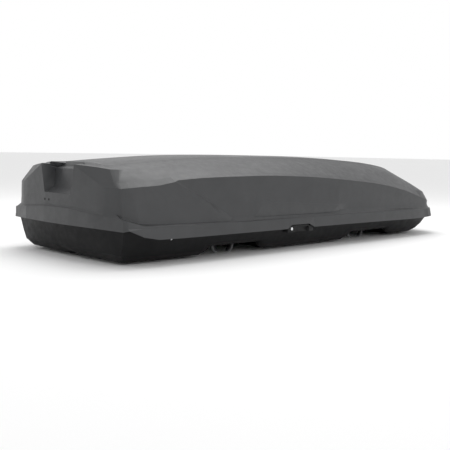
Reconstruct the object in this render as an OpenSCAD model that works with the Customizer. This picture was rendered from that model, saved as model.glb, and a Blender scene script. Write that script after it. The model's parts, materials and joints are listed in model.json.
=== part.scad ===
// Roof cargo box, 600 litre class, opens on its right side.
// Millimetres. +X is forward (nose), +Y is left, +Z is up, z = 0 is the ground it rests on.

/* [Shells] */
// Wall thickness of the lid and the base
wall = 3.5; // [3:0.5:4]
// How far the badge pad stands out of the side wall
pad_proud = 3.5; // [2:0.5:5]
// How far the rear part of the side wall stands out of the front part
step_proud = 8; // [4:1:10]

/* [Roof bar clamps] */
// Distance of each roof bar from the middle of the box
bar_x = 480; // [470:5:490]
// Distance of each clamp from the centre line
clamp_y = 280; // [270:5:290]
// Radius of the clamp knobs
knob_r = 27; // [22:1:30]

/* [Lock] */
// Middle of the lock cylinder along the side
lock_x = -199; // [-205:1:-190]
// Radius of the lock cylinder
lock_r = 7; // [6:0.5:8]

/* [Hidden] */
$fn = 48;
EPS = 0.01;

// ------------------------------------------------------------------ tables
// piece of a table that holds x
function seg_of(x, t, i = 0) = (i >= len(t) - 2 || x < t[i + 1][0]) ? i : seg_of(x, t, i + 1);
// slope of a table at row i
function slope(t, i) =
    let (a = max(i - 1, 0), b = min(i + 1, len(t) - 1)) (t[b][1] - t[a][1]) / (t[b][0] - t[a][0]);
// smooth curve through a table of [x, value]
function sm(x, t) =
    x <= t[0][0] ? t[0][1] :
    x >= t[len(t) - 1][0] ? t[len(t) - 1][1] :
    let (i = seg_of(x, t), h = t[i + 1][0] - t[i][0], s = (x - t[i][0]) / h,
         m = slope(t, i) * h, n = slope(t, i + 1) * h)
    (2*s*s*s - 3*s*s + 1) * t[i][1] + (s*s*s - 2*s*s + s) * m
    + (3*s*s - 2*s*s*s) * t[i + 1][1] + (s*s*s - s*s) * n;
// straight pieces through a list of values at whole steps
function piece(u, v) = let (i = min(floor(u), len(v) - 2)) v[i] + (u - i) * (v[i + 1] - v[i]);

// ------------------------------------------------------------------ lid shape
// The skin is a stack of level rings. Half a ring runs from the middle of the rear face,
// round the corner, along the side and round to the middle of the nose; the other half mirrors it.

// side stations: ring start, step line, badge pad ends, lock notch, nose start
SIDE_CUTS = [8, 1, 4, 1, 4, 1, 3, 1, 4, 1, 13];
REAR_CUTS = [2, 1, 4, 3];
NOSE_CUTS = 14;
// columns as [zone, place]: 0 rear face, 1 rear corner, 2 side, 3 nose
function spread(cuts) = [for (i = [0:len(cuts) - 1]) for (k = [0:cuts[i] - 1]) i + k / cuts[i]];
COLS = concat(
    [for (u = spread(REAR_CUTS)) [0, u]], [[0, len(REAR_CUTS)]],
    [for (i = [1:3]) [1, i / 4]],
    [for (u = spread(SIDE_CUTS)) [2, u]], [[2, len(SIDE_CUTS)]],
    [for (i = [1:NOSE_CUTS]) [3, i / NOSE_CUTS]]);

// half widths of the rim and of the wall along the side
RIM_W = [[-1079, 422], [-950, 434], [-800, 441], [-500, 445], [300, 445], [600, 443], [750, 440],
         [850, 435], [930, 427]];
WALL_W = [[-1080, 368], [-1040, 382], [-950, 396], [-800, 406], [-600, 413], [-400, 418], [300, 418],
          [600, 416], [750, 414], [850, 411], [930, 406]];
CROWN_W = [[-1030, 303], [-800, 300], [400, 300], [600, 302], [760, 312], [850, 322]];

// heights along the side and round the nose
RIM_Z = [[-1079, 142], [-1050, 129], [-990, 107], [-960, 103], [-540, 102], [0, 101], [400, 99],
         [870, 95], [980, 98], [1138, 104]];
SKIRT_Z = [[-1079, 150], [-1000, 147], [-540, 147], [400, 147], [700, 146], [900, 142], [1138, 142]];
BAND_Z = [[-1078, 178], [-1046, 162], [-956, 153], [-540, 151], [200, 154], [500, 153], [900, 147],
          [1138, 147]];
LEDGE_Z = [[-1080, 184], [-1046, 168], [-956, 160], [-610, 155], [-562, 155], [-545, 165], [-428, 163],
           [-412, 162], [158, 160], [168, 167], [500, 161], [790, 152], [900, 150], [1120, 150]];
PAD_TOP_Z = [[-1080, 232], [-865, 232], [-409, 225], [164, 193], [400, 186], [900, 164], [1120, 160]];
SHOULDER_Z = [[-1085, 299], [-1013, 305], [-921, 311], [-848, 323], [-740, 331], [-604, 335], [-347, 338],
              [-135, 333], [52, 324], [345, 302], [550, 281], [757, 246], [863, 220], [962, 196],
              [1050, 176], [1110, 170]];
CROWN_Z = [[-1066, 363], [-780, 380], [-445, 391], [-400, 386], [-15, 384], [377, 371], [564, 356],
           [740, 333], [885, 291], [960, 274], [1040, 262], [1098, 254]];
// the brow lies on the shoulder slope along the side and bulges round the nose
BROW_BULGE = [[700, 0], [850, 7], [950, 20], [1050, 30], [1120, 32]];
BROW_X = [-1085, -1013, -921, -848, -740, -604, -347, -135, 52, 345, 550, 757, 863, 962, 1050, 1115];
BROW_Z = [for (x = BROW_X)
    [x, 0.74 * sm(x, SHOULDER_Z) + 0.26 * sm(x, CROWN_Z) + sm(x, BROW_BULGE)]];
ROOF_Z = [[-1040, 384], [-940, 394], [-821, 403], [-602, 416], [-362, 422], [-97, 423], [198, 419],
          [528, 404], [746, 383], [900, 354], [985, 326], [1060, 296]];

// one level ring: rear face y, x, z at its five marks; side stations; widths; heights; nose tip and
// squareness; how much of the step and of the pad it carries
function ring_of(ry, rx, rz, at, w, dw, z, dz, tip, sq, step, pad) =
    [ry, rx, rz, at, w, dw, z, dz, tip, sq, step, pad];
function stations(start, step_x, nose, pad_x = -418) =
    [start, step_x, step_x + 16, pad_x - 12, pad_x, -231, -205, -85, -45, 162, 172, nose];

RINGS = [
    ring_of([0, 90, 100, 255, 405], [-1138, -1136.5, -1136, -1126, -1096], [141, 141, 141, 141, 137],
        stations(-1079, -560, 930), RIM_W, 0, RIM_Z, 0, 1138, 2.8, 0, 0),
    ring_of([0, 90, 100, 255, 404], [-1137.7, -1136.2, -1135.7, -1125.7, -1095.5],
        [151, 151, 151, 151, 149],
        stations(-1079, -560, 930), RIM_W, -9, SKIRT_Z, 0, 1134, 2.8, 0, 0),
    ring_of([0, 90, 100, 255, 403], [-1137.4, -1136, -1135.5, -1125.5, -1095], [154, 154, 154, 154, 152],
        stations(-1077, -560, 930), RIM_W, -15, SKIRT_Z, 3, 1129, 2.8, 0.5, 0),
    ring_of([0, 92, 102, 262, 402], [-1137, -1135.5, -1135, -1124.5, -1095], [207, 206, 205, 194, 182],
        stations(-1075, -562, 930), RIM_W, -17, BAND_Z, 0, 1127, 2.8, 0.6, 0),
    ring_of([0, 92, 102, 300, 385], [-1129, -1127.5, -1127, -1116, -1095], [213, 212, 211, 194, 187],
        stations(-1078, -562, 930), WALL_W, 2, LEDGE_Z, 0, 1120, 2.8, 1, 0),
    ring_of([0, 92, 102, 300, 354], [-1128, -1126.5, -1126, -1113.5, -1095], [219, 218, 217, 201, 201],
        stations(-1080, -566, 930), WALL_W, 0, LEDGE_Z, 4, 1118, 2.8, 1, 1),
    ring_of([0, 94, 100, 300, 351], [-1128, -1126.5, -1126, -1112.5, -1094], [262, 262, 262, 234, 234],
        stations(-1080, -674, 930, -410), WALL_W, -2, PAD_TOP_Z, 0, 1115, 2.7, 1, 1),
    ring_of([0, 92, 106, 300, 351], [-1088, -1087, -1126.5, -1112, -1094], [284, 284, 292, 262, 262],
        stations(-1080, -686, 930, -409), WALL_W, -2.5, PAD_TOP_Z, 6, 1113, 2.7, 1, 0),
    ring_of([0, 114, 123, 298, 349], [-1066, -1066, -1127, -1110, -1093], [358, 358, 377, 299, 298],
        stations(-1081, -850, 920), WALL_W, -5, SHOULDER_Z, 0, 1116, 3, 0.8, 0),
    ring_of([0, 112, 124, 279, 333], [-1064, -1064, -1126, -1106, -1088], [360, 360, 378, 318, 316],
        stations(-1072, -850, 905), WALL_W, -32, BROW_Z, 0, 1112, 2.9, 0.6, 0),
    ring_of([0, 110, 125, 225, 286], [-1058, -1058, -1123, -1092, -1073], [364, 364, 380, 372, 365],
        stations(-1044, -850, 850, -400), CROWN_W, 0, CROWN_Z, 0, 1096, 2.9, 0, 0),
    ring_of([0, 100, 125, 165, 212], [-1044, -1044, -1088, -1074, -1060], [368, 368, 381, 379, 376],
        stations(-1040, -850, 780, -400), [[-1040, 226], [780, 226]], 0, ROOF_Z, -13, 1000, 2.3, 0, 0),
    ring_of([0, 95, 118, 157, 203], [-1040, -1040, -1083, -1068, -1054], [373, 373, 387, 385, 382],
        stations(-1032, -850, 780, -400), [[-1032, 216], [780, 216]], 0, ROOF_Z, -7.5, 990, 2.3, 0, 0),
    ring_of([0, 86, 100, 105, 110], [-1036, -1034, -1024, -1020, -1014], [379, 380, 388, 388, 388],
        stations(-1005, -850, 780, -400), [[-1005, 112], [780, 112]], 0, ROOF_Z, -1.5, 966, 2.2, 0, 0)];

STEP_ON = [1, 1, 0, 0, 0, 0, 0, 0, 0, 0, 0, 0];
PAD_ON = [0, 0, 0, 0, 1, 1, 1, 1, 1, 1, 0, 0];
NOTCH_ON = [0, 0, 0, 0, 0, 0, 1, 1, 0, 0, 0, 0];

// point on the side of ring g at place u
function side_point(g, k, u) =
    let (x = piece(u, g[3]),
         y = sm(x, g[4]) + g[5] + piece(u, STEP_ON) * g[10] * step_proud
             + piece(u, PAD_ON) * g[11] * pad_proud,
         z = sm(x, g[6]) + g[7] - (g[10] == 0.8 ? 4 * piece(u, STEP_ON) : 0)
             + (k == 0 ? 17 * piece(u, NOTCH_ON) : 0))
    [x, -y, z];
function rear_point(g, u) = [piece(u, g[1]), -piece(u, g[0]), piece(u, g[2])];
// corner: a bend from the end of the rear face to the start of the side
function corner_point(g, k, s) =
    let (a = rear_point(g, 4), b = side_point(g, k, 0),
         c = [a[0] + 0.42 * (b[0] - a[0]), a[1] + 0.62 * (b[1] - a[1]), (a[2] + b[2]) / 2])
    (1 - s) * (1 - s) * a + 2 * s * (1 - s) * c + s * s * b;
function nose_point(g, k, s) =
    let (b = side_point(g, k, len(SIDE_CUTS)), t = 90 * s, x = b[0] + (g[8] - b[0]) * pow(sin(t), 2 / g[9]))
    [x, s == 1 ? 0 : b[1] * pow(cos(t), 2 / g[9]), sm(x, g[6]) + g[7]];
function skin_point(g, k, c) =
    c[0] == 0 ? rear_point(g, c[1]) :
    c[0] == 1 ? corner_point(g, k, c[1]) :
    c[0] == 2 ? side_point(g, k, c[1]) : nose_point(g, k, c[1]);
function mirror_half(half) =
    concat(half, [for (i = [len(half) - 2:-1:1]) [half[i][0], -half[i][1], half[i][2]]]);
LID_OUT = [for (k = [0:len(RINGS) - 1]) mirror_half([for (c = COLS) skin_point(RINGS[k], k, c)])];

// ------------------------------------------------------------------ skins from rings
// outward direction of a ring at column j, seen from above
function out2(ring, j) =
    let (n = len(ring), a = ring[(j + n - 1) % n], b = ring[(j + 1) % n],
         d = [b[0] - a[0], b[1] - a[1]], l = norm(d))
    [d[1] / l, -d[0] / l];
// a ring moved in by a and down by b
function inset_ring(ring, a, b) = [for (j = [0:len(ring) - 1]) let (o = out2(ring, j))
    [ring[j][0] - a * o[0], ring[j][1] - a * o[1], ring[j][2] - b]];
// faces between two rings of n points that start at points a and b
function band(a, b, n) = [for (j = [0:n - 1]) let (i = (j + 1) % n)
    each [[a + j, b + j, b + i], [a + j, b + i, a + i]]];
// a flat strip of faces that closes a ring of n points starting at a
function cap(a, n) = let (h = n / 2) concat(
    [[a, a + n - 1, a + 1]],
    [for (j = [1:h - 2]) each [[a + j, a + n - j, a + n - j - 1], [a + j, a + n - j - 1, a + j + 1]]],
    [[a + h - 1, a + h + 1, a + h]]);
function flip(f) = [for (t = f) [t[0], t[2], t[1]]];
// closed skin from outer rings and inner rings, both from the rim to the middle
module skin(outer, inner, rising = true) {
    n = len(outer[0]);
    no = len(outer);
    ni = len(inner);
    faces = concat(
        [for (k = [0:no - 2]) each band(k * n, (k + 1) * n, n)], cap((no - 1) * n, n),
        [for (k = [0:ni - 2]) each flip(band((no + k) * n, (no + k + 1) * n, n))],
        flip(cap((no + ni - 1) * n, n)),
        flip(band(0, no * n, n)));
    polyhedron(points = [for (r = outer) each r, for (r = inner) each r],
        faces = rising ? faces : flip(faces), convexity = 10);
}
// the inner rings: which outer ring each follows, how far in and how far down
LID_IN = [for (q = [[0, 1, 0], [2, 1.05, 0.1], [5, 1, 0.1], [6, 1, 0.2], [7, 1, 0.3], [8, 0.85, 0.75],
                    [9, 0.55, 0.9], [10, 0.4, 1], [11, 0.4, 1], [12, 0.3, 1], [13, 0, 1]])
    inset_ring(LID_OUT[q[0]], q[1] * wall, q[2] * wall)];

module lid_shell() color([0.21, 0.215, 0.22]) skin(LID_OUT, LID_IN);

// ------------------------------------------------------------------ base tub
// side stations of the tub: ring start, the slopes of the two roof bar recesses, nose start
TUB_AT = [-678, -647, -632, -339, -320, -283, 270, 310, 333, 643, 664, 740];
TUB_CUTS = [6, 1, 1, 3, 1, 1, 5, 1, 1, 3, 1, 1, 2];
TUB_REAR_CUTS = [1, 3, 2];
TUB_RECESS = [0, 0, 0.35, 1, 1, 0.35, 0, 0, 0.35, 1, 1, 0.4, 0, 0];
TUB_COLS = concat(
    [for (u = spread(TUB_REAR_CUTS)) [0, u]], [[0, len(TUB_REAR_CUTS)]],
    [for (i = [1:3]) [1, i / 4]],
    [for (u = spread(TUB_CUTS)) [2, u]], [[2, len(TUB_CUTS)]],
    [for (i = [1:12]) [3, i / 12]]);
// height of the recess floor above the ground
RECESS_Z = 44;
// how far inside the lid's rim the base's lip stands, and the foot of the slope 22 mm below it
LIP_IN = 13.5;
SLOPE_IN = 34;
// half width that the lip follows: the rim's, drawn in at the rear corners
LIP_W = concat([[-1060, 420], [-1000, 427], [-950, 433]], [for (i = [2:len(RIM_W) - 1]) RIM_W[i]]);
// one tub ring: rear y, x, z at four marks; side start, nose start; width table and offset;
// height: share of the rim height plus a height; recess height; nose tip, squareness, nose height
TUB = [
    [[0, 80, 255, 388], [-1127, -1125.5, -1115.5, -1084], [162, 162, 162, 158],
     -1060, 930, LIP_W, -LIP_IN, 1, 20, 0, 1124, 2.8],
    [[0, 80, 255, 388], [-1127, -1125.5, -1115.5, -1084], [150, 150, 150, 146],
     -1060, 930, LIP_W, -LIP_IN, 1, 11, 0, 1124, 2.8],
    [[0, 80, 262, 384], [-1112, -1111, -1101, -1080], [128, 128, 128, 126],
     -1060, 925, RIM_W, -SLOPE_IN, 1, -11, 0, 1108, 2.8],
    [[0, 80, 300, 372], [-1101, -1100, -1090, -1075], [90, 90, 86, 82],
     -1062, 915, RIM_W, -50, 0.55, 4, 62, 1088, 2.8],
    [[0, 78, 325, 356], [-1088, -1087, -1078, -1070], [45, 45, 44, 42],
     -1056, 900, RIM_W, -72, 0.2, 11, 50, 1062, 2.7],
    [[0, 76, 310, 332], [-1066, -1062, -1056, -1050], [24, 15, 16, 17],
     -1036, 870, RIM_W, -94, 0, 13, 45, 1028, 2.6],
    [[0, 74, 245, 265], [-1010, -1005, -1002, -998], [20, 0, 0, 0],
     -990, 830, [[-990, 270], [830, 270]], 0, 0, 0, RECESS_Z, 972, 2.4],
    [[0, 72, 100, 120], [-1002, -996, -994, -990], [20, 0, 0, 0],
     -982, 830, [[-982, 128], [830, 128]], 0, 0, 0, RECESS_Z, 960, 2.2],
    [[0, 62, 80, 96], [-998, -990, -986, -982], [20, 18, 18, 18],
     -972, 830, [[-972, 106], [830, 106]], 0, 0, 18, RECESS_Z, 945, 2.2]];
// the pods' rear ends are swept forward under the skids
TUB_SWEEP = [0, 0, 0, 0, 72, 72, 72, 0, 0, 0, 96, 96, 60, 0];
function tub_side(g, u) =
    let (x = piece(u, concat([g[3]], TUB_AT, [g[4]])) + (g[9] == RECESS_Z ? piece(u, TUB_SWEEP) : 0),
         k = piece(u, TUB_RECESS), z = g[7] * sm(x, RIM_Z) + g[8])
    [x, -(sm(x, g[5]) + g[6]), g[9] == 0 ? z : z + k * max(g[9] - z, 0)];
function tub_rear(g, u) = [piece(u, g[1]), -piece(u, g[0]), piece(u, g[2])];
function tub_corner(g, s) =
    let (a = tub_rear(g, 3), b = tub_side(g, 0),
         c = [a[0] + 0.4 * (b[0] - a[0]), a[1] + 0.7 * (b[1] - a[1]), (a[2] + b[2]) / 2])
    (1 - s) * (1 - s) * a + 2 * s * (1 - s) * c + s * s * b;
function tub_nose(g, s) =
    let (b = tub_side(g, len(TUB_CUTS)), t = 90 * s, x = b[0] + (g[10] - b[0]) * pow(sin(t), 2 / g[11]))
    [x, s == 1 ? 0 : b[1] * pow(cos(t), 2 / g[11]), g[7] * sm(x, RIM_Z) + g[8]];
function tub_point(g, c) =
    c[0] == 0 ? tub_rear(g, c[1]) : c[0] == 1 ? tub_corner(g, c[1]) :
    c[0] == 2 ? tub_side(g, c[1]) : tub_nose(g, c[1]);
TUB_OUT = [for (g = TUB) mirror_half([for (c = TUB_COLS) tub_point(g, c)])];
TUB_IN = [for (q = [[0, 1, 0], [1, 1, 0], [2, 0.9, 0.45], [3, 0.95, 0.3], [4, 0.8, 0.6], [5, 0.5, 0.85],
                    [6, 0.1, 1], [7, 0, 1], [8, 0, 1]])
    inset_ring(TUB_OUT[q[0]], q[1] * wall, -q[2] * wall)];

// ------------------------------------------------------------------ shared places
CLAMPS = [[-bar_x, -clamp_y], [-bar_x, clamp_y], [bar_x, -clamp_y], [bar_x, clamp_y]];
// cylinder along X, along Y, and a box from its low and high corners
module along_x(r, l) rotate([0, 90, 0]) cylinder(r = r, h = l);
module along_y(r, l) rotate([-90, 0, 0]) cylinder(r = r, h = l);
module box(a, b) translate(a) cube(b - a);
// outline of the lock housing, x and z, seen from the side
LOCK_OUTLINE = [[-225, 84], [-52, 84], [-50, 96], [-57, 101], [-90, 116], [-201, 116], [-221, 101],
                [-227, 96]];
// the tub wall leans out by WALL_LEAN from the vertical; half width of its outer face at height z
WALL_LEAN = atan2(SLOPE_IN - LIP_IN, 22);
function tub_slope_y(x, z) = sm(x, RIM_W) - LIP_IN - tan(WALL_LEAN) * (sm(x, RIM_Z) + 11 - z);
// puts things on the outer face of that wall at height z: +Z goes in through the wall, +Y up the slope
// on the left side and down it on the right
module on_slope(x, side, z) translate([x, side * tub_slope_y(x, z), z])
    rotate([side * (90 - WALL_LEAN), 0, 0]) children();

module base_shell() color([0.03, 0.03, 0.033]) difference() {
    skin(TUB_OUT, TUB_IN, false);
    // slots the clamp jaws hang through
    for (c = CLAMPS) translate([c[0], c[1], 0]) box([-68, -13, 40], [68, 13, 52]);
    // cut-out the lock housing sits in
    translate([0, -380, 0]) rotate([90, 0, 0]) linear_extrude(80) polygon(
        [[-223, 86], [-54, 86], [-52, 130], [-225, 130]]);
}

// ------------------------------------------------------------------ lid hinges
// hinge axis: y and z
HY = 408.5;
HZ = 104;
HINGE_X = [-620, 0, 620];
KNUCKLE_R = 5.5;
// distance from the hinge axis to the inner face of the tub wall
function hinge_gap(x) = (tub_slope_y(x, HZ) - HY) * cos(WALL_LEAN) - wall;
// y of the lid's inner wall at the hinge leaves
LEAF_Y = [415.5, 416.5, 411.5];
module hinge_base_leaves() color([0.55, 0.56, 0.58]) for (x = HINGE_X)
    translate([x, HY, HZ]) rotate([90 - WALL_LEAN, 0, 0]) let (g = hinge_gap(x)) {
        for (k = [-30, 14]) difference() {
            union() {
                translate([k, 0, 0]) along_x(KNUCKLE_R, 16);
                box([k, -KNUCKLE_R, -g - 0.4], [k + 16, KNUCKLE_R - 1, 0]);
            }
            translate([k - 1, 0, 0]) along_x(2.55, 18);
        }
        box([-30, -26, -g - 0.4], [30, -7, -g + 2.6]);
        for (k = [-30, 14]) box([k, -8, -g - 0.4], [k + 16, -KNUCKLE_R + 1, -g + 2.6]);
    }
// a goose-neck leaf: it passes inside the base's lip and turns out to the lid's wall above it
module hinge_lid_leaves() color([0.55, 0.56, 0.58]) for (i = [0:2]) translate([HINGE_X[i], 0, 0]) {
    difference() {
        union() {
            translate([-13.6, HY, HZ]) along_x(KNUCKLE_R, 27.2);
            box([-13.6, HY - 8, HZ - 3], [13.6, HY, HZ + 4]);
            box([-13.6, HY - 8, HZ + 3], [13.6, HY - 3.5, 164]);
        }
        translate([-15, HY, HZ]) along_x(2.55, 30);
    }
    box([-13.6, HY - 8, 160], [13.6, LEAF_Y[i] - 2.5, 168]);
    box([-28, LEAF_Y[i] - 5, 166], [28, LEAF_Y[i] - 2, 214]);
}
module hinge_pins() color([0.75, 0.76, 0.78]) for (x = HINGE_X) translate([x, HY, HZ]) {
    translate([-31.5, 0, 0]) along_x(2.5, 63);
    translate([-33, 0, 0]) along_x(4, 2.5);
    translate([30.5, 0, 0]) along_x(4, 2.5);
}

// ------------------------------------------------------------------ gas struts
STRUT_R = 270;
STRUT_X = [-1045, 600];
BY = HY - STRUT_R * cos(8);
BZ = HZ - STRUT_R * sin(8);
LY = HY - STRUT_R * cos(52);
LZ = HZ + STRUT_R * sin(52);
STRUT_TILT = atan2(LZ - BZ, LY - BY);
module at_base_end(x) translate([x, BY, BZ]) rotate([STRUT_TILT, 0, 0]) children();
module at_lid_end(x) translate([x, LY, LZ]) rotate([STRUT_TILT + 180, 0, 0]) children();
module eye(r) difference() {
    union() {
        translate([-6, 0, 0]) along_x(r, 12);
        translate([0, 5, 0]) along_y(5, 11);
    }
    translate([-7, 0, 0]) along_x(4.05, 14);
}
module strut_tube(x) color([0.06, 0.06, 0.065]) at_base_end(x) {
    eye(9);
    difference() {
        translate([0, 15, 0]) along_y(9, 211);
        translate([0, 19, 0]) along_y(7.2, 203);
        translate([0, 221, 0]) along_y(4.06, 6);
    }
}
module strut_rod(x) color([0.8, 0.81, 0.83]) at_lid_end(x) {
    eye(9);
    translate([0, 14, 0]) along_y(4, 224);
    translate([0, 234, 0]) along_y(7.14, 6);
}
module strut_stud(x) {
    translate([x - 20, 0, 0]) along_x(4, 27);
    translate([x + 6.5, 0, 0]) along_x(6.5, 3);
    translate([x - 9.5, 0, 0]) along_x(7, 3);
}
// the raked rear wall half way through its thickness
function rear_wall_x(z) = -1085.2 - (z - 54) * 7.2 / 26;
module strut_base_brackets() color([0.5, 0.51, 0.53]) {
    for (x = STRUT_X) translate([0, BY, BZ]) strut_stud(x);
    // rear: arm out of the raked rear wall
    translate([0, BY + 18, 0]) rotate([90, 0, 0]) linear_extrude(36)
        polygon([[-1060, BZ + 10], [-1060, BZ - 9], [rear_wall_x(BZ - 12), BZ - 12],
                 [rear_wall_x(BZ + 14), BZ + 14]]);
    // front: post on the floor of the front recess
    box([576, BY - 18, 46.5], [584, BY + 18, BZ + 15]);
    box([566, BY - 24, 46.8], [596, BY + 24, 49.5]);
}
// tops of the lid brackets, let into the roof: inner and outer height at the rear and at the front
LID_BRACKET_TOP = [[370.5, 367.5], [379, 367]];
module strut_lid_brackets() color([0.5, 0.51, 0.53]) {
    for (x = STRUT_X) translate([0, LY, LZ]) strut_stud(x);
    for (i = [0:1]) translate([[-1070, 576][i], 0, 0]) rotate([90, 0, 90]) linear_extrude(8)
        polygon([[LY - 15, LZ - 11], [LY + 15, LZ - 11], [LY + 16, LID_BRACKET_TOP[i][1]],
                 [LY - 16, LID_BRACKET_TOP[i][0]]]);
}

// ------------------------------------------------------------------ side lock
PITCH_R = 12;
LOCK_Z = 100;
BAR_Y = -411;
BAR_Z = LOCK_Z + PITCH_R;
RACK_PITCH = 2 * PI * PITCH_R / 12;
TONGUE_X = [-700, -10, 560];
module lock_housing() color([0.02, 0.02, 0.022]) difference() {
    union() {
        translate([0, -406, 0]) rotate([90, 0, 0]) linear_extrude(33.5) polygon(LOCK_OUTLINE);
        box([-222, -417, 100], [-56, -404, 132]);
        box([-222, -410, 84], [-56, -404, 110]);
    }
    // slot for the lock bar, room for the pinion, bore for the cylinder
    box([-240, BAR_Y - 0.35, BAR_Z - 2.4], [-40, BAR_Y + 3.35, BAR_Z + 16.35]);
    translate([lock_x, BAR_Y - 0.35, LOCK_Z]) along_y(14.6, 3.7);
    translate([lock_x, -441, LOCK_Z]) along_y(lock_r + 0.05, 31);
    // finger recess in front
    box([-170, -440, 84 - EPS], [-80, -428, 108]);
}
module lock_cylinder() color([0.8, 0.81, 0.82]) difference() {
    union() {
        translate([lock_x, -440.5, LOCK_Z]) along_y(lock_r, 29);
        translate([lock_x, -441, LOCK_Z]) along_y(lock_r - 1, 2);
        translate([lock_x, -412, LOCK_Z]) along_y(5, 4);
    }
    box([lock_x - 0.8, -442, LOCK_Z - 4], [lock_x + 0.8, -430, LOCK_Z + 4]);
}
module lock_pinion() color([0.45, 0.46, 0.48]) translate([lock_x, BAR_Y, LOCK_Z]) difference() {
    union() {
        along_y(9.4, 3);
        for (i = [-2:5]) rotate([0, -30 * i, 0]) translate([0, 3, 0]) rotate([90, 0, 0])
            linear_extrude(3) polygon([[-1.5, 8], [1.5, 8], [0.6, 13.7], [-0.6, 13.7]]);
    }
    translate([0, -1, 0]) along_y(5.02, 5);
}
module lock_bar() color([0.6, 0.61, 0.63]) {
    box([-890, BAR_Y, BAR_Z + 2.4], [820, BAR_Y + 3, BAR_Z + 16]);
    // plain lower edge each side of the rack
    box([-890, BAR_Y, BAR_Z], [lock_x - 40, BAR_Y + 3, BAR_Z + 3]);
    box([lock_x + 18, BAR_Y, BAR_Z], [820, BAR_Y + 3, BAR_Z + 3]);
    for (i = [-6:1]) translate([lock_x + (i + 0.5) * RACK_PITCH, BAR_Y + 3, 0])
        rotate([90, 0, 0]) linear_extrude(3)
            polygon([[-1.6, BAR_Z + 2.6], [-0.6, BAR_Z - 1.7], [0.6, BAR_Z - 1.7], [1.6, BAR_Z + 2.6]]);
    // hooks
    for (x = TONGUE_X) {
        box([x - 34, BAR_Y, BAR_Z + 15], [x - 22, BAR_Y + 3, BAR_Z + 38]);
        box([x - 34, BAR_Y, BAR_Z + 32], [x - 8, BAR_Y + 3, BAR_Z + 38]);
    }
}
GUIDE_X = [-870, 800];
module lock_bar_guides() color([0.04, 0.04, 0.044]) for (x = GUIDE_X) difference() {
    union() {
        box([x - 14, -417, BAR_Z - 3], [x + 14, -404, BAR_Z + 20]);
        on_slope(x, -1, 97) box([-14, -12, wall - 0.4], [14, 14, wall + 3]);
        // joins the block to the plate that lies on the wall
        box([x - 14, 1.6 * wall - tub_slope_y(x, 103), 103], [x + 14, -404, BAR_Z - 2]);
    }
    box([x - 20, BAR_Y - 0.35, BAR_Z - 0.35], [x + 20, BAR_Y + 3.35, BAR_Z + 16.35]);
}
STRIKER_Y = [-412.5, -412.5, -410.5];
module lock_strikers() color([0.6, 0.61, 0.63]) for (i = [0:2]) translate([TONGUE_X[i], 0, 0]) {
    box([-16, STRIKER_Y[i] - 2, 160], [16, STRIKER_Y[i] + 1, 204]);
    box([-16, STRIKER_Y[i] - 2, 160], [16, -402, 163]);
    box([-16, -404.5, 131], [16, -402, 163]);
    translate([0, -414, 138]) along_y(3, 11);
}

// ------------------------------------------------------------------ rivets and plugs
module rivet(r, l) {
    cylinder(r = r * 0.5, h = l);
    translate([0, 0, -1]) cylinder(r1 = r * 0.75, r2 = r, h = 1);
    cylinder(r = r, h = 0.6);
    translate([0, 0, l - 0.6]) cylinder(r = r * 0.8, h = 1.4);
}
module side_rivets() color([0.85, 0.86, 0.87]) {
    for (x = GUIDE_X) on_slope(x, -1, 96) rivet(4.5, 7);
    for (x = HINGE_X) for (k = [-20, 20]) on_slope(x + k, 1, 91) rivet(4.5, 6.5);
}
PLUG_Y = [66, 98];
PLUG_Z = 233;
module rear_plugs() color([0.03, 0.03, 0.03]) for (y = PLUG_Y)
    translate([-1128.9 + 0.0165 * y, y, PLUG_Z]) along_x(4.5, 6);

// ------------------------------------------------------------------ floor rails and roof bar clamps
RAIL_Z = 47.8;
module rail(side) difference() {
    union() {
        box([-628, side * clamp_y - 30, RAIL_Z], [640, side * clamp_y + 30, 50.1]);
        for (k = [-30, 27.5]) box([-628, side * clamp_y + k, RAIL_Z], [640, side * clamp_y + k + 2.5, 58]);
    }
    for (x = [-bar_x, bar_x]) translate([x, side * clamp_y, 0]) box([-68, -13, 40], [68, 13, 60]);
}
module rail_right() color([0.62, 0.63, 0.65]) rail(-1);
module rail_left() color([0.62, 0.63, 0.65]) rail(1);
module rail_rivets() color([0.85, 0.86, 0.87]) for (c = CLAMPS) for (k = [-100, 100]) for (d = [-20, 20])
    translate([c[0] + k, c[1] + d, 43.6]) {
        cylinder(r = 2.5, h = 8);
        translate([0, 0, -1]) cylinder(r = 5, h = 1.4);
        translate([0, 0, 6.5]) cylinder(r = 4.5, h = 1.6);
    }

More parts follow.
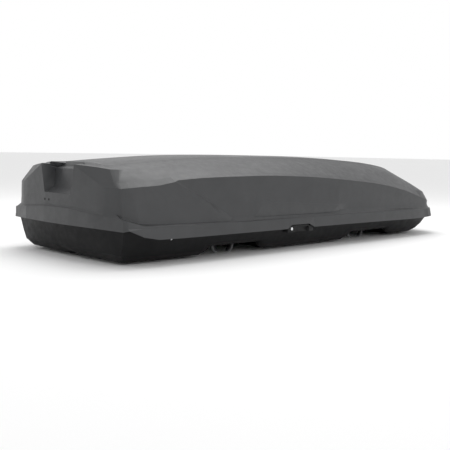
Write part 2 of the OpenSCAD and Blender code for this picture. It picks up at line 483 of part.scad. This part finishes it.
PIVOT_X = 52;
PIVOT_Z = 66;
module stadium(r, half, z0, z1) {
    for (k = [-half, half]) translate([k, 0, z0]) cylinder(r = r, h = z1 - z0);
    box([-half, -r, z0], [half, r, z1]);
}
module clamp_housing(c) color([0.03, 0.03, 0.033]) translate([c[0], c[1], 0]) difference() {
    union() {
        stadium(23, 46, 50.2, 84);
        stadium(25.5, 46, 50.2, 54);
        translate([0, 0, 83]) cylinder(r = 14, h = 3);
    }
    stadium(20, 46, 50, 81);
    translate([0, 0, 80]) cylinder(r = 5.06, h = 8);
    for (k = [-PIVOT_X, PIVOT_X]) translate([k, -27, PIVOT_Z]) along_y(4.02, 54);
}
module clamp_pivot_pins() color([0.7, 0.71, 0.73]) for (c = CLAMPS) for (k = [-PIVOT_X, PIVOT_X])
    translate([c[0] + k, c[1] - 22.6, PIVOT_Z]) along_y(4, 45.2);
module clamp_knob(c) color([0.05, 0.05, 0.055]) translate([c[0], c[1], 0]) difference() {
    union() {
        translate([0, 0, 86.3]) cylinder(r = knob_r - 6, h = 24);
        for (i = [0:5]) rotate([0, 0, 60 * i]) translate([knob_r - 8, 0, 88]) cylinder(r = 8, h = 20);
        translate([0, 0, 110]) cylinder(r1 = knob_r - 6, r2 = knob_r - 9, h = 3);
    }
    translate([0, 0, 86]) cylinder(r = 5.02, h = 20);
    for (i = [0:5]) rotate([0, 0, 30 + 60 * i]) translate([knob_r + 0.5, 0, 80]) cylinder(r = 7, h = 40);
}
module clamp_spindle(c) color([0.7, 0.71, 0.73]) translate([c[0], c[1], 0]) {
    translate([0, 0, 53]) cylinder(r = 5, h = 52.5);
    translate([0, 0, 78.6]) cylinder(r = 8, h = 2);
}
module clamp_nut(c) color([0.55, 0.56, 0.58]) translate([c[0], c[1], 0]) difference() {
    union() {
        box([-11, -12.5, 54], [11, 12.5, 66]);
        for (k = [-12.5, 9.5]) box([-22, k, 55], [22, k + 3, 65]);
        for (k = [-18, 18]) translate([k, -10, 60]) along_y(3, 20);
    }
    translate([0, 0, 50]) cylinder(r = 5.07, h = 20);
}
// claw for the front side of a clamp; the rear one is its mirror image
module claw_arc(r0, r1, half) intersection() {
    translate([34, -half, 30]) difference() {
        along_y(r1, 2 * half);
        translate([0, -1, 0]) along_y(r0, 2 * half + 2);
    }
    box([34, -half, 0], [70, half, 30]);
}
module claw() {
    difference() {
        union() {
            claw_arc(22, 28, 9);
            box([56, -9, 29.9], [62, 9, PIVOT_Z]);
            translate([PIVOT_X, -9, PIVOT_Z]) along_y(9, 18);
            translate([PIVOT_X, -8, PIVOT_Z]) rotate([0, -10, 0]) box([-39, 0, -6.6], [-2, 16, 6.6]);
        }
        translate([PIVOT_X, -10, PIVOT_Z]) along_y(4.05, 20);
        translate([PIVOT_X, -10, PIVOT_Z]) rotate([0, -10, 0]) box([-40, 0, -3.35], [-24, 20, 3.35]);
    }
}
module claw_pad() difference() {
    union() {
        claw_arc(13.5, 21.9, 9);
        box([47.5, -9, 29.9], [55.9, 9, 46]);
    }
    translate([33, -10, 25]) cube([7, 20, 30]);
}
module clamp_jaw_front(c) color([0.5, 0.51, 0.52]) translate([c[0], c[1], 0]) claw();
module clamp_jaw_rear(c) color([0.5, 0.51, 0.52]) translate([c[0], c[1], 0]) mirror([1, 0, 0]) claw();
module clamp_pad_front(c) color([0.02, 0.02, 0.02]) translate([c[0], c[1], 0]) claw_pad();
module clamp_pad_rear(c) color([0.02, 0.02, 0.02]) translate([c[0], c[1], 0]) mirror([1, 0, 0]) claw_pad();

lid_shell();
base_shell();
hinge_base_leaves();
hinge_lid_leaves();
hinge_pins();
strut_base_brackets();
strut_lid_brackets();
lock_housing();
lock_cylinder();
lock_pinion();
lock_bar();
lock_bar_guides();
lock_strikers();
side_rivets();
rear_plugs();
rail_right();
rail_left();
rail_rivets();
clamp_pivot_pins();
strut_tube(STRUT_X[0]);  // strut_rear_tube
strut_rod(STRUT_X[0]);  // strut_rear_rod
strut_tube(STRUT_X[1]);  // strut_front_tube
strut_rod(STRUT_X[1]);  // strut_front_rod
clamp_housing(CLAMPS[0]);  // clamp_rear_right_housing
clamp_knob(CLAMPS[0]);  // clamp_rear_right_knob
clamp_spindle(CLAMPS[0]);  // clamp_rear_right_spindle
clamp_nut(CLAMPS[0]);  // clamp_rear_right_nut
clamp_jaw_rear(CLAMPS[0]);  // clamp_rear_right_jaw_rear
clamp_jaw_front(CLAMPS[0]);  // clamp_rear_right_jaw_front
clamp_pad_rear(CLAMPS[0]);  // clamp_rear_right_pad_rear
clamp_pad_front(CLAMPS[0]);  // clamp_rear_right_pad_front
clamp_housing(CLAMPS[1]);  // clamp_rear_left_housing
clamp_knob(CLAMPS[1]);  // clamp_rear_left_knob
clamp_spindle(CLAMPS[1]);  // clamp_rear_left_spindle
clamp_nut(CLAMPS[1]);  // clamp_rear_left_nut
clamp_jaw_rear(CLAMPS[1]);  // clamp_rear_left_jaw_rear
clamp_jaw_front(CLAMPS[1]);  // clamp_rear_left_jaw_front
clamp_pad_rear(CLAMPS[1]);  // clamp_rear_left_pad_rear
clamp_pad_front(CLAMPS[1]);  // clamp_rear_left_pad_front
clamp_housing(CLAMPS[2]);  // clamp_front_right_housing
clamp_knob(CLAMPS[2]);  // clamp_front_right_knob
clamp_spindle(CLAMPS[2]);  // clamp_front_right_spindle
clamp_nut(CLAMPS[2]);  // clamp_front_right_nut
clamp_jaw_rear(CLAMPS[2]);  // clamp_front_right_jaw_rear
clamp_jaw_front(CLAMPS[2]);  // clamp_front_right_jaw_front
clamp_pad_rear(CLAMPS[2]);  // clamp_front_right_pad_rear
clamp_pad_front(CLAMPS[2]);  // clamp_front_right_pad_front
clamp_housing(CLAMPS[3]);  // clamp_front_left_housing
clamp_knob(CLAMPS[3]);  // clamp_front_left_knob
clamp_spindle(CLAMPS[3]);  // clamp_front_left_spindle
clamp_nut(CLAMPS[3]);  // clamp_front_left_nut
clamp_jaw_rear(CLAMPS[3]);  // clamp_front_left_jaw_rear
clamp_jaw_front(CLAMPS[3]);  // clamp_front_left_jaw_front
clamp_pad_rear(CLAMPS[3]);  // clamp_front_left_pad_rear
clamp_pad_front(CLAMPS[3]);  // clamp_front_left_pad_front
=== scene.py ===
"""Roof cargo box: looks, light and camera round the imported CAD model. Metres, +X to the nose, +Z up."""

import json
import math

import bmesh
import bpy
from mathutils import Matrix, Vector


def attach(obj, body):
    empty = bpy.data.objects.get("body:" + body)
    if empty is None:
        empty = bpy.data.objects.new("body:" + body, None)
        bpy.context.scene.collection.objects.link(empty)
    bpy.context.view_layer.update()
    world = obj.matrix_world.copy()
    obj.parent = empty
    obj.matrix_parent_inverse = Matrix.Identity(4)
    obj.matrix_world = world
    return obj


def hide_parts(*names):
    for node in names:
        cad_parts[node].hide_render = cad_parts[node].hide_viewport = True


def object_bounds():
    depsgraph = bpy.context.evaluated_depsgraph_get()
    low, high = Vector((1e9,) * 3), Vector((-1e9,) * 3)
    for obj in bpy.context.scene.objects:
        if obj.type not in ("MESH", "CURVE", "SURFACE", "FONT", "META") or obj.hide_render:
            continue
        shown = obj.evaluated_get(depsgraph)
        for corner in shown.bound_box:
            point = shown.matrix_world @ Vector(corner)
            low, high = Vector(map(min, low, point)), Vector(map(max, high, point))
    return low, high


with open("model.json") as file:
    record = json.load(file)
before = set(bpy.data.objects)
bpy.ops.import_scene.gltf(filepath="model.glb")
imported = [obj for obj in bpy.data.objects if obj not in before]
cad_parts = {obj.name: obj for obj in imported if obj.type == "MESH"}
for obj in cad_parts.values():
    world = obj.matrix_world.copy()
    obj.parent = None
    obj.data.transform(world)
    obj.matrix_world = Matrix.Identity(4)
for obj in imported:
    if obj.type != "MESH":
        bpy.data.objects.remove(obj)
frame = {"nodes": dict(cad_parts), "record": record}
cad_low, cad_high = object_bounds()
nodes = frame["nodes"]

# ---------------------------------------------------------------- camera
LENS = 59.14
SENSOR = 36.0
CAMERA_AT = Vector((-2.690, -2.605, 0.441))
HEADING = math.radians(46.2)
PITCH = math.radians(5.71)
ROLL = math.radians(-0.975)
ROOM_LIGHT = 0.85


def add_camera():
    """Looks along HEADING, measured from +X towards +Y, tipped down by PITCH and rolled by ROLL."""
    ahead = Vector((math.cos(HEADING) * math.cos(PITCH), math.sin(HEADING) * math.cos(PITCH), -math.sin(PITCH)))
    right = Vector((math.sin(HEADING), -math.cos(HEADING), 0))
    up = right.cross(ahead)
    side = right * math.cos(ROLL) - up * math.sin(ROLL)
    top = right * math.sin(ROLL) + up * math.cos(ROLL)
    data = bpy.data.cameras.new("camera")
    data.lens = LENS
    data.sensor_width = SENSOR
    data.clip_end = 200
    camera = bpy.data.objects.new("camera", data)
    bpy.context.scene.collection.objects.link(camera)
    camera.matrix_world = Matrix.Translation(CAMERA_AT) @ Matrix((side, top, -ahead)).transposed().to_4x4()
    bpy.context.scene.camera = camera


# ---------------------------------------------------------------- stage and light
def add_floor():
    """A wide pale floor just under the box."""
    half = 60
    mesh = bpy.data.meshes.new("floor")
    mesh.from_pydata([(-half, -half, 0), (half, -half, 0), (half, half, 0), (-half, half, 0)], [], [(0, 1, 2, 3)])
    floor = bpy.data.objects.new("floor", mesh)
    floor.location.z = cad_low.z - 0.0005
    bpy.context.scene.collection.objects.link(floor)
    material = bpy.data.materials.new("floor")
    material.use_nodes = True
    shader = material.node_tree.nodes["Principled BSDF"]
    shader.inputs["Base Color"].default_value = (0.95, 0.95, 0.95, 1)
    shader.inputs["Roughness"].default_value = 0.9
    mesh.materials.append(material)


def add_softbox(name, at, size, watts):
    """A square area light that faces the middle of the box."""
    data = bpy.data.lights.new(name, "AREA")
    data.size = size
    data.energy = watts
    light = bpy.data.objects.new(name, data)
    light.location = at
    middle = (cad_low + cad_high) / 2
    light.rotation_euler = (middle - Vector(at)).to_track_quat("-Z", "Y").to_euler()
    bpy.context.scene.collection.objects.link(light)


def add_lights():
    """A white room seen by the camera, dimmer as a light than it looks, and two softboxes."""
    world = bpy.data.worlds.new("studio")
    world.use_nodes = True
    tree = world.node_tree
    background = tree.nodes["Background"]
    background.inputs["Color"].default_value = (1, 1, 1, 1)
    seen = tree.nodes.new("ShaderNodeLightPath")
    strength = tree.nodes.new("ShaderNodeMapRange")
    strength.inputs["To Min"].default_value = ROOM_LIGHT
    strength.inputs["To Max"].default_value = 1.0
    tree.links.new(seen.outputs["Is Camera Ray"], strength.inputs["Value"])
    tree.links.new(strength.outputs["Result"], background.inputs["Strength"])
    bpy.context.scene.world = world
    bpy.context.scene.view_settings.view_transform = "Standard"
    add_softbox("overhead", (0.4, 0.6, 3.2), 3.0, 60)
    add_softbox("front", (0.6, -4.4, 1.6), 2.5, 14)


# ---------------------------------------------------------------- materials
class Shader:
    """A Principled material with short helpers for its nodes."""

    def __init__(self, name):
        self.material = bpy.data.materials.new(name)
        self.material.use_nodes = True
        self.tree = self.material.node_tree
        self.bsdf = self.tree.nodes["Principled BSDF"]
        self.place = self.add("ShaderNodeTexCoord").outputs["Object"]

    def add(self, kind, **settings):
        node = self.tree.nodes.new(kind)
        for key, value in settings.items():
            setattr(node, key, value)
        return node

    def set(self, **values):
        for key, value in values.items():
            self.bsdf.inputs[key.replace("_", " ")].default_value = value

    def link(self, a, b):
        self.tree.links.new(a, b)

    def stretched(self, scale):
        node = self.add("ShaderNodeMapping")
        node.inputs["Scale"].default_value = scale
        self.link(self.place, node.inputs["Vector"])
        return node.outputs["Vector"]

    def noise(self, scale, detail=3.0, vector=None):
        node = self.add("ShaderNodeTexNoise")
        node.inputs["Scale"].default_value = scale
        node.inputs["Detail"].default_value = detail
        self.link(vector or self.place, node.inputs["Vector"])
        return node.outputs["Fac"]

    def cells(self, scale):
        node = self.add("ShaderNodeTexVoronoi")
        node.inputs["Scale"].default_value = scale
        self.link(self.place, node.inputs["Vector"])
        return node.outputs["Distance"]

    def spread(self, value, low, high):
        """value from 0..1 to low..high, about its usual middle."""
        node = self.add("ShaderNodeMapRange")
        node.inputs["From Min"].default_value = 0.3
        node.inputs["From Max"].default_value = 0.7
        node.inputs["To Min"].default_value = low
        node.inputs["To Max"].default_value = high
        self.link(value, node.inputs["Value"])
        return node.outputs["Result"]

    def tint(self, value, dark, light):
        node = self.add("ShaderNodeMix", data_type="RGBA")
        node.inputs["A"].default_value = (*dark, 1)
        node.inputs["B"].default_value = (*light, 1)
        self.link(self.spread(value, 0, 1), node.inputs["Factor"])
        self.link(node.outputs["Result"], self.bsdf.inputs["Base Color"])

    def roughness(self, value, low, high):
        self.link(self.spread(value, low, high), self.bsdf.inputs["Roughness"])

    def bump(self, layers):
        """layers are (height, distance in metres); each is laid over the one before."""
        normal = None
        for height, distance in layers:
            node = self.add("ShaderNodeBump")
            node.inputs["Strength"].default_value = 1.0
            node.inputs["Distance"].default_value = distance
            self.link(height, node.inputs["Height"])
            if normal:
                self.link(normal, node.inputs["Normal"])
            normal = node.outputs["Normal"]
        self.link(normal, self.bsdf.inputs["Normal"])


def grained_plastic(name, dark, light, rough, grain, depth, shine=0.5):
    """Moulded or vacuum-formed plastic: a fine leather grain, slight mottling and slow waves in the sheet."""
    s = Shader(name)
    s.set(IOR=1.5, Specular_IOR_Level=shine)
    s.tint(s.noise(9, 4), dark, light)
    s.roughness(s.noise(35, 5), *rough)
    s.bump([(s.noise(4, 1), 0.0012), (s.cells(grain), depth), (s.noise(grain * 2.3, 2), depth * 0.5)])
    return s.material


def plated_metal(name, color, rough, streaks, depth=0.00002):
    """Metal with fine streaks along one direction: rolled, drawn or turned."""
    s = Shader(name)
    s.set(Metallic=1.0)
    fine = s.noise(900, 3, s.stretched(streaks))
    s.tint(s.noise(60, 4), tuple(0.86 * c for c in color), color)
    s.roughness(fine, *rough)
    s.bump([(fine, depth)])
    return s.material


def coated_metal(name, dark, light, rough, peel):
    """Paint or powder coat over steel, with orange peel."""
    s = Shader(name)
    s.set(IOR=1.5, Coat_Weight=0.25, Coat_Roughness=0.15)
    s.tint(s.noise(70, 3), dark, light)
    s.roughness(s.noise(200, 3), *rough)
    s.bump([(s.noise(peel, 2), 0.00006)])
    return s.material


def soft_rubber(name):
    s = Shader(name)
    s.set(IOR=1.52)
    s.tint(s.noise(90, 4), (0.012, 0.012, 0.012), (0.024, 0.024, 0.025))
    s.roughness(s.noise(160, 4), 0.7, 0.88)
    s.bump([(s.noise(700, 3), 0.00008)])
    return s.material


def make_materials():
    """One material for each slot in the record."""
    along = (0.04, 1, 1)
    return {
        "lid_abs": grained_plastic("lid_abs", (0.030, 0.031, 0.033), (0.038, 0.039, 0.041), (0.36, 0.46), 620, 0.00010),
        "base_abs": grained_plastic("base_abs", (0.006, 0.006, 0.0065), (0.010, 0.010, 0.0105), (0.46, 0.6), 480, 0.00014, 0.14),
        "black_plastic": grained_plastic("black_plastic", (0.008, 0.008, 0.008), (0.013, 0.013, 0.014), (0.42, 0.55), 900, 0.00006, 0.2),
        "knob_plastic": grained_plastic("knob_plastic", (0.016, 0.016, 0.018), (0.024, 0.024, 0.026), (0.38, 0.5), 1100, 0.00006),
        "zinc_steel": plated_metal("zinc_steel", (0.60, 0.61, 0.63), (0.28, 0.42), along),
        "bright_steel": plated_metal("bright_steel", (0.74, 0.75, 0.76), (0.16, 0.28), (1, 1, 0.05)),
        "lock_chrome": plated_metal("lock_chrome", (0.80, 0.81, 0.82), (0.10, 0.20), (1, 1, 1), 0.00001),
        "rail_aluminium": plated_metal("rail_aluminium", (0.70, 0.71, 0.72), (0.30, 0.44), along),
        "claw_steel": coated_metal("claw_steel", (0.15, 0.155, 0.16), (0.20, 0.205, 0.21), (0.38, 0.5), 500),
        "strut_paint": coated_metal("strut_paint", (0.012, 0.012, 0.013), (0.018, 0.018, 0.019), (0.2, 0.3), 350),
        "rubber": soft_rubber("rubber"),
    }


def slot_of(node):
    return next(row["material_slot"] for row in frame["record"]["subparts"] if row["node"] == node)


def dress(obj, slot):
    obj.data.materials.clear()
    obj.data.materials.append(materials[slot])


# ---------------------------------------------------------------- shells
def formed_skin(node, body, name):
    """The shell's own surface with its points joined, crisp where it folds by more than SHELL_FOLD degrees and
    smooth elsewhere."""
    mesh = nodes[node].data.copy()
    mesh.name = name
    bm = bmesh.new()
    bm.from_mesh(mesh)
    bmesh.ops.remove_doubles(bm, verts=bm.verts, dist=0.00002)
    bmesh.ops.dissolve_degenerate(bm, edges=bm.edges, dist=0.00002)
    bmesh.ops.recalc_face_normals(bm, faces=bm.faces)
    bm.to_mesh(mesh)
    bm.free()
    for polygon in mesh.polygons:
        polygon.use_smooth = True
    mesh.set_sharp_from_angle(angle=math.radians(SHELL_FOLD))
    piece = bpy.data.objects.new(name, mesh)
    bpy.context.scene.collection.objects.link(piece)
    dress(piece, slot_of(node))
    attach(piece, body)
    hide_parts(node)


# ---------------------------------------------------------------- hardware
def soften(obj, width):
    """Small radii on a CAD part's edges."""
    weld = obj.modifiers.new("weld", "WELD")
    weld.merge_threshold = 0.00001
    bevel = obj.modifiers.new("bevel", "BEVEL")
    bevel.width = width
    bevel.segments = 2
    bevel.limit_method = "ANGLE"
    bevel.angle_limit = math.radians(35)
    bevel.harden_normals = True
    for polygon in obj.data.polygons:
        polygon.use_smooth = True


EDGE_RADIUS = {"zinc_steel": 0.0005, "rail_aluminium": 0.0004, "bright_steel": 0.0003, "lock_chrome": 0.0003,
               "claw_steel": 0.0010, "rubber": 0.0012, "knob_plastic": 0.0012, "black_plastic": 0.0010,
               "strut_paint": 0.0006}
SHELLS = {"lid_shell": ("lid", "lid_skin"), "base_shell": ("base", "base_skin")}
SHELL_FOLD = 7

add_camera()
add_floor()
add_lights()
materials = make_materials()
for name, obj in nodes.items():
    dress(obj, slot_of(name))
    if name in SHELLS:
        formed_skin(name, *SHELLS[name])
    else:
        soften(obj, EDGE_RADIUS[slot_of(name)])
